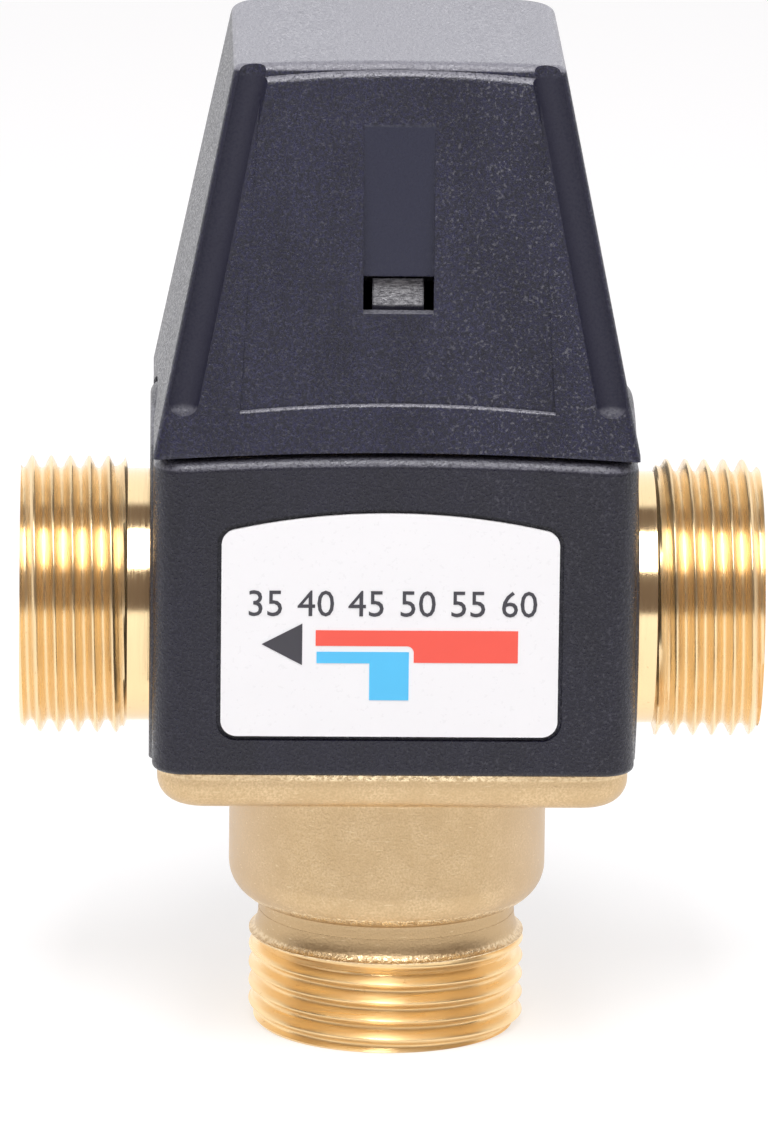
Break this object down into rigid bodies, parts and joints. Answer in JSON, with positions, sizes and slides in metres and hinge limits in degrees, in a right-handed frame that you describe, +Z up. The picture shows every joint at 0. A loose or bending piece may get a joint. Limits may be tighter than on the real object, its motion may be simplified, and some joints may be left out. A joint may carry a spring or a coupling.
{
  "type": "thermostatic mixing valve",
  "caption": "Three-port brass thermostatic mixing valve with male pipe threads, black plastic cover and lift-off tamper cap over its setting knob.",
  "frame": {"origin": "middle of the cold port end face, which is also the middle of the bottom of the bounding box", "axes": "+X out of the hot port, -X out of the mixed water port, -Y the front with the flow label, +Z up along the spindle; the cold port points down"},
  "size_m": [0.0706, 0.0454, 0.0972],
  "materials": {
    "forged_brass": "sand-blasted forging, threads and necks machined bright",
    "turned_brass": "turned bright",
    "black_plastic": "fine spark-eroded grain",
    "black_plastic_cap": "fine spark-eroded grain, satin",
    "knob_plastic": "moulded, satin",
    "label_white": "white label plate with printed flow symbol",
    "black_rubber": "moulded, smooth",
    "spring_steel": "drawn wire",
    "screw_steel": "turned",
    "copper_capsule": "drawn, dull"
  },
  "bodies": {
    "valve": {"valve_body": "forged_brass", "lower_cover": "black_plastic", "flow_label": "label_white", "bonnet": "turned_brass", "bonnet_o_ring": "black_rubber", "return_spring": "spring_steel"},
    "cap": {"cap": "black_plastic_cap"},
    "knob": {"adjusting_knob": "knob_plastic", "spindle": "turned_brass", "knob_screw": "screw_steel", "spindle_circlip": "spring_steel", "spindle_o_ring_lower": "black_rubber", "spindle_o_ring_upper": "black_rubber"},
    "carriage": {"carriage": "turned_brass", "carriage_circlip": "spring_steel", "overload_spring": "spring_steel"},
    "overload": {"overload_cup": "turned_brass", "element_piston": "screw_steel"},
    "shuttle": {"shuttle": "turned_brass", "wax_capsule": "copper_capsule", "hot_seal_ring": "black_rubber"}
  },
  "joints": [
    {"name": "cap_lift", "type": "slide", "parent": "valve", "child": "cap", "axis": [0, 0, 1], "range_m": [0, 0.045]},
    {"name": "knob_turn", "type": "hinge", "parent": "valve", "child": "knob", "pos_m": [0, 0, 0.08], "axis": [0, 0, 1], "range_deg": [-150, 150]},
    {"name": "carriage_travel", "type": "slide", "parent": "valve", "child": "carriage", "axis": [0, 0, 1], "range_m": [-0.00075, 0.00075], "deforming": ["return_spring"]},
    {"name": "overload_travel", "type": "slide", "parent": "carriage", "child": "overload", "axis": [0, 0, 1], "range_m": [0, 0.0012], "stiffness_N_per_m": 800, "springref_m": -0.0005, "deforming": ["overload_spring"]},
    {"name": "shuttle_stroke", "type": "slide", "parent": "carriage", "child": "shuttle", "axis": [0, 0, 1], "range_m": [-0.0008, 0.0008], "stiffness_N_per_m": 1000, "deforming": ["return_spring"]}
  ],
  "couplings": [
    {"joint": "knob_turn", "follows": "carriage_travel", "rad_per_m": 3490.7}
  ]
}
